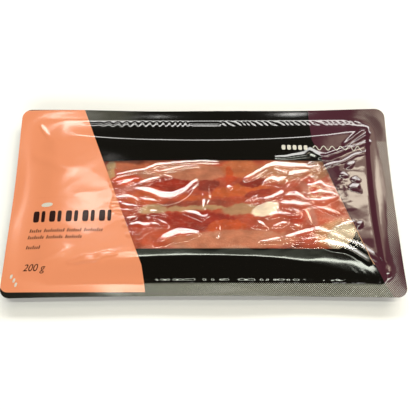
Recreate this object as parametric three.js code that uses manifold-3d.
// A flat vacuum pack of sliced ham, lying on its formed side.
// Two plastic webs are welded together round a shallow pocket: the base web is formed down round the
// ham, and the top web is drawn over it like a low tent, with a shoulder line along each side and
// tight folds that run from the pocket's corners to the ham. Between them lie shingled slices.
// Millimetres, +X along the pack, +Y away from the reader, +Z up, origin under the pack's middle.
import * as THREE from "three";
import { mergeVertices } from "three/addons/utils/BufferGeometryUtils.js";
import Module from "manifold-3d";

const wasm = await Module();
wasm.setup();

// Driving sizes of the pack.
const PACK_LENGTH = 250;
const PACK_WIDTH = 130;
const PACK_CORNER = 6.5;
const SIDE_BOW = 1.2; // the vacuum draws each side in this much at its middle
const SEAL_WIDTH = 7.5;
const SEAL_HEIGHT = 9.5; // of the weld above the surface that the pack lies on
const SEAL_WAVE = 0.45; // how far the free rim waves up and down
const POCKET_CORNER = 11;
const TOP_WEB = 0.3;
const BASE_WEB = 0.4;
const GAP = 0.3; // left between pieces that touch

// Driving sizes of the ham.
const SLICE = 1.3;
const SLICE_LENGTH = 132;
const SLICE_WIDTH = 77;
const SLICE_SQUARENESS = 3.6; // exponent of the outline: 2 is an ellipse, and more is squarer
const SLICE_WOBBLE = 0.012; // share by which the outline departs from that curve
const STACK_LENGTH = 198;
const STACK_MIDDLE = -2;
const STACK_SQUARENESS = 5;
const STACK_TOP = 10.4;
const SLICES = [
  { name: "ham_slice_left", middle: -26, colour: 0xb0553c },
  { name: "ham_slice_right", middle: 34, colour: 0xc06a50 },
  { name: "ham_slice_top", middle: 4, colour: 0xa8402a },
];
const SKIRT = 5.5; // what covers a slice stays level this far past its end
const SLICE_FALL = 5; // and then comes down over this length if it is a slice
const WEB_FALL = 16; // or over this length if it is the top web, which bridges the step

// How the webs follow the ham.
const SHOULDER_HALF_LENGTH = 105;
const SHOULDER_HALF_WIDTH = 40.5;
const SHOULDER_SPREAD_X = 6; // the shoulder line runs out by this much towards the corners
const SHOULDER_SPREAD_Y = 14;
const SHOULDER_POWER = 2.4;
const FLAT_HALF_LENGTH = 104; // of the base web's flat underside
const FLAT_HALF_WIDTH = 42;
const FLAT_CORNER = 12;
const WALL_POWER = 1.4; // curves the formed wall: 1 is a straight slope
const TENT_REACH = 26; // the top web falls this far out from the ham's corners
const TENT_DROP = 0.62; // share of its rise that it loses on the way
const CREASE_HEIGHT = 0.45; // of the low relief where the web clings to the slices

// Tight folds in the top web, from the pocket's corners to the ham's: start, end, height and width.
const FOLDS = [
  { from: [-112, 53], to: [-97, 43], height: 1.1, width: 2.6 },
  { from: [112, 52], to: [98, 38], height: 1.2, width: 2.6 },
  { from: [114, 42], to: [74, 25], height: 1.2, width: 2.6 },
  { from: [113, 33], to: [80, 19], height: 0.9, width: 2.4 },
  { from: [109, -49], to: [74, -29], height: 1.1, width: 2.6 },
  { from: [116, -46], to: [86, -26], height: 0.9, width: 2.4 },
  { from: [-113, -50], to: [-86, -36], height: 1.0, width: 2.8 },
  { from: [-114, 30], to: [-88, 20], height: 0.7, width: 3.0 },
];

// Cells of each web's grid from the middle to the shoulder, and from there past the edge.
const SHOULDER_LINE = [105, 36];
const PAST_EDGE = [126, 66];
const TOP_CELLS = [[19, 6], [7, 10]];
const BASE_CELLS = [[8, 2], [6, 8]];

const HALF_LENGTH = PACK_LENGTH / 2;
const HALF_WIDTH = PACK_WIDTH / 2;

const clamp01 = (t) => Math.min(1, Math.max(0, t));
const smooth = (t) => clamp01(t) ** 2 * (3 - 2 * clamp01(t));

// Half the pack's length at a given y, and half its width at a given x, with the sides drawn in.
const halfLengthAt = (y) => HALF_LENGTH - SIDE_BOW * (1 - (y / HALF_WIDTH) ** 2);
const halfWidthAt = (x) => HALF_WIDTH - SIDE_BOW * (1 - (x / HALF_LENGTH) ** 2);

// How far a point lies inside a rectangle with round corners; it is negative outside.
function inset(x, y, halfX, halfY, radius) {
  const qx = Math.abs(x) - halfX + radius;
  const qy = Math.abs(y) - halfY + radius;
  return radius - Math.hypot(Math.max(qx, 0), Math.max(qy, 0)) - Math.min(Math.max(qx, qy), 0);
}

// How far a point lies inside the inner edge of the weld.
function pocketInset(x, y) {
  return inset(x, y, halfLengthAt(y) - SEAL_WIDTH, halfWidthAt(x) - SEAL_WIDTH, POCKET_CORNER);
}

// How far a point lies outside the shoulder line, which runs out towards the pocket's corners.
function shoulderOutset(x, y) {
  const spreadY = SHOULDER_SPREAD_Y * Math.abs(x / SHOULDER_HALF_LENGTH) ** SHOULDER_POWER;
  const spreadX = SHOULDER_SPREAD_X * Math.abs(y / HALF_WIDTH) ** SHOULDER_POWER;
  const pastY = Math.abs(y) - SHOULDER_HALF_WIDTH - spreadY;
  const pastX = Math.abs(x) - SHOULDER_HALF_LENGTH - spreadX;
  return Math.max(0, pastX, pastY);
}

// Height of what lies on the stack and the first `count` slices: it comes down past their ends.
function levelOn(count, x, fall) {
  let level = STACK_TOP + GAP;
  for (const { middle } of SLICES.slice(0, count)) {
    const past = Math.abs(x - middle) - SLICE_LENGTH / 2 - SKIRT;
    level += (SLICE + GAP) * (1 - smooth(past / fall));
  }
  return level;
}

// A fold is a long low bump along a line, which tapers off at both ends.
function foldHeight(x, y) {
  let total = 0;
  for (const { from, to, height, width } of FOLDS) {
    const dx = to[0] - from[0];
    const dy = to[1] - from[1];
    const along = clamp01(((x - from[0]) * dx + (y - from[1]) * dy) / (dx * dx + dy * dy));
    const off = Math.hypot(x - from[0] - along * dx, y - from[1] - along * dy);
    const taper = 0.35 + 0.65 * Math.sin(Math.PI * along);
    total += height * taper * Math.exp(-((off / width) ** 2));
  }
  return total;
}

// Low crossing creases where the web clings to the slices.
function creaseHeight(x, y) {
  const slanted = 1 - Math.abs(Math.sin((x + 1.9 * y) / 13));
  const crossed = 1 - Math.abs(Math.sin((0.45 * x - y) / 8 + 0.9));
  return (CREASE_HEIGHT * (slanted + crossed)) / 2;
}

// The free rim outside the weld waves a little.
function rimWave(x, y) {
  const out = smooth(-pocketInset(x, y) / SEAL_WIDTH);
  return SEAL_WAVE * out * (Math.sin(x / 17 + 0.7) + 0.7 * Math.sin(y / 12 - x / 31));
}

// Outer face of the top web: level on the slices, and a straight ramp from the shoulder to the weld.
function topFace(x, y) {
  const weld = SEAL_HEIGHT + GAP / 2 + TOP_WEB;
  const inside = Math.max(0, pocketInset(x, y));
  if (inside === 0) return weld + rimWave(x, y);
  const ramp = inside / (inside + shoulderOutset(x, y));
  const fromHam = -inset(x, y, SHOULDER_HALF_LENGTH, SHOULDER_HALF_WIDTH, 2);
  const tent = 1 - TENT_DROP * smooth(fromHam / TENT_REACH);
  const rise = levelOn(SLICES.length, x, WEB_FALL) + TOP_WEB - weld;
  const cling = clamp01(-fromHam / 6) * creaseHeight(x, y);
  return weld + rise * tent * ramp + cling + foldHeight(x, y) * smooth(inside / 5);
}

// Outer face of the base web: flat under the ham, and formed up to the weld round it.
function baseFace(x, y) {
  const weld = SEAL_HEIGHT - GAP / 2 - BASE_WEB;
  const inside = Math.max(0, pocketInset(x, y));
  if (inside === 0) return weld + rimWave(x, y);
  const beyond = Math.max(0, -inset(x, y, FLAT_HALF_LENGTH, FLAT_HALF_WIDTH, FLAT_CORNER));
  return weld * (beyond / (inside + beyond)) ** WALL_POWER;
}

// Grid positions along one axis (0 or 1), mirrored about the middle.
function gridLines(cells, axis) {
  const half = [];
  const [inner, outer] = cells.map((run) => run[axis]);
  for (let i = 1; i <= inner; i++) half.push((SHOULDER_LINE[axis] * i) / inner);
  const span = PAST_EDGE[axis] - SHOULDER_LINE[axis];
  for (let i = 1; i <= outer; i++) half.push(SHOULDER_LINE[axis] + (span * i) / outer);
  return [...half.map((v) => -v).reverse(), 0, ...half];
}

// A closed BufferGeometry as a solid that can be joined and cut, and back.
function toSolid(geometry) {
  const bare = geometry.clone();
  bare.deleteAttribute("normal");
  bare.deleteAttribute("uv");
  const merged = mergeVertices(bare, 1e-4);
  return new wasm.Manifold(new wasm.Mesh({
    numProp: 3,
    vertProperties: new Float32Array(merged.attributes.position.array),
    triVerts: new Uint32Array(merged.index.array),
  }));
}

function toGeometry(solid) {
  const { vertProperties, triVerts } = solid.getMesh();
  const geometry = new THREE.BufferGeometry();
  geometry.setAttribute("position", new THREE.BufferAttribute(vertProperties, 3));
  geometry.setIndex(new THREE.BufferAttribute(triVerts, 1));
  geometry.computeVertexNormals();
  return geometry;
}

// The closed solid between two height functions, with corners at the crossings of the grid lines.
function sheet(lower, upper, xLines, yLines) {
  const columns = xLines.length;
  const rows = yLines.length;
  const positions = [];
  for (const face of [lower, upper]) {
    for (const y of yLines) {
      for (const x of xLines) positions.push(x, y, face(x, y));
    }
  }
  const index = [];
  const bottom = (column, row) => row * columns + column;
  const top = (column, row) => columns * rows + bottom(column, row);
  const quad = (a, b, c, d) => index.push(a, b, c, a, c, d);
  for (let r = 0; r + 1 < rows; r++) {
    for (let c = 0; c + 1 < columns; c++) {
      quad(top(c, r), top(c + 1, r), top(c + 1, r + 1), top(c, r + 1));
      const [a, b] = [bottom(c, r), bottom(c + 1, r + 1)];
      index.push(a, b, bottom(c + 1, r), a, bottom(c, r + 1), b);
    }
  }
  const wall = (c0, r0, c1, r1) => quad(bottom(c0, r0), bottom(c1, r1), top(c1, r1), top(c0, r0));
  for (let c = 0; c + 1 < columns; c++) {
    wall(c, 0, c + 1, 0);
    wall(c + 1, rows - 1, c, rows - 1);
  }
  for (let r = 0; r + 1 < rows; r++) {
    wall(columns - 1, r, columns - 1, r + 1);
    wall(0, r + 1, 0, r);
  }
  const geometry = new THREE.BufferGeometry();
  geometry.setAttribute("position", new THREE.Float32BufferAttribute(positions, 3));
  geometry.setIndex(index);
  return toSolid(geometry);
}

// An upright block with the given outline.
function block(outline, bottom, height) {
  const shape = new THREE.Shape(outline);
  const geometry = new THREE.ExtrudeGeometry(shape, { depth: height, bevelEnabled: false });
  geometry.translate(0, 0, bottom);
  return toSolid(geometry);
}

// Cuts a sheet to an outline.
const trim = (solid, outline) => solid.intersect(block(outline, -5, 30));

// The pack's outline: round corners, joined by sides that bow in a little.
function packOutline() {
  const points = [];
  const cornerX = HALF_LENGTH - PACK_CORNER;
  const cornerY = HALF_WIDTH - PACK_CORNER;
  [[1, 1], [-1, 1], [-1, -1], [1, -1]].forEach(([sx, sy], quarter) => {
    for (let step = 0; step <= 6; step++) {
      const angle = (quarter + step / 6) * (Math.PI / 2);
      const across = PACK_CORNER * Math.cos(angle);
      const up = PACK_CORNER * Math.sin(angle);
      points.push(new THREE.Vector2(sx * cornerX + across, sy * cornerY + up));
    }
    for (let step = 1; step < 8; step++) {
      const along = 1 - step / 4;
      const x = sx * cornerX * along;
      const y = sy * cornerY * along;
      if (quarter % 2 === 0) points.push(new THREE.Vector2(x, sy * halfWidthAt(x)));
      else points.push(new THREE.Vector2(sx * halfLengthAt(y), y));
    }
  });
  return points;
}

// A slice's outline: a squarish oval, a little lopsided as a cut muscle is.
function sliceOutline(middle, length, squareness) {
  const spread = (v) => Math.sign(v) * Math.abs(v) ** (2 / squareness);
  return Array.from({ length: 56 }, (_, i) => {
    const angle = (i / 56) * 2 * Math.PI;
    const wobble = 1 - SLICE_WOBBLE * (1 + Math.sin(3 * angle + middle));
    const x = middle + (length / 2) * wobble * spread(Math.cos(angle));
    const y = (SLICE_WIDTH / 2) * wobble * spread(Math.sin(angle));
    return new THREE.Vector2(x, y);
  });
}

function node(name, solid, color, roughness) {
  const material = new THREE.MeshStandardMaterial({ color, roughness, metalness: 0 });
  const mesh = new THREE.Mesh(toGeometry(solid), material);
  mesh.name = name;
  return mesh;
}

const pack = new THREE.Group();
const rim = packOutline();

// Base web: the black formed film that the ham lies in.
const baseLines = [gridLines(BASE_CELLS, 0), gridLines(BASE_CELLS, 1)];
const baseWeb = sheet(baseFace, (x, y) => baseFace(x, y) + BASE_WEB, ...baseLines);
pack.add(node("base_web", trim(baseWeb, rim), 0x1a1a17, 0.35));

// The lower slices, of which only the outline of the whole thickness shows.
const stackBottom = BASE_WEB + GAP;
const stackOutline = sliceOutline(STACK_MIDDLE, STACK_LENGTH, STACK_SQUARENESS);
pack.add(node("ham_stack", block(stackOutline, stackBottom, STACK_TOP - stackBottom), 0xa4503a, 0.45));

// The slices that show in the window, each draped over the ends of those below.
const [xLines, yLines] = [gridLines(TOP_CELLS, 0), gridLines(TOP_CELLS, 1)];
SLICES.forEach(({ name, middle, colour }, below) => {
  const lower = (x) => levelOn(below, x, SLICE_FALL);
  const body = sheet(lower, (x) => lower(x) + SLICE, xLines, [-HALF_WIDTH, HALF_WIDTH]);
  const outline = sliceOutline(middle, SLICE_LENGTH, SLICE_SQUARENESS);
  pack.add(node(name, trim(body, outline), colour, 0.4));
});

// Top web: the printed film with a clear window, welded to the base web round the rim.
const topWeb = sheet((x, y) => topFace(x, y) - TOP_WEB, topFace, xLines, yLines);
pack.add(node("top_web", trim(topWeb, rim), 0x16140f, 0.2));

export default pack;
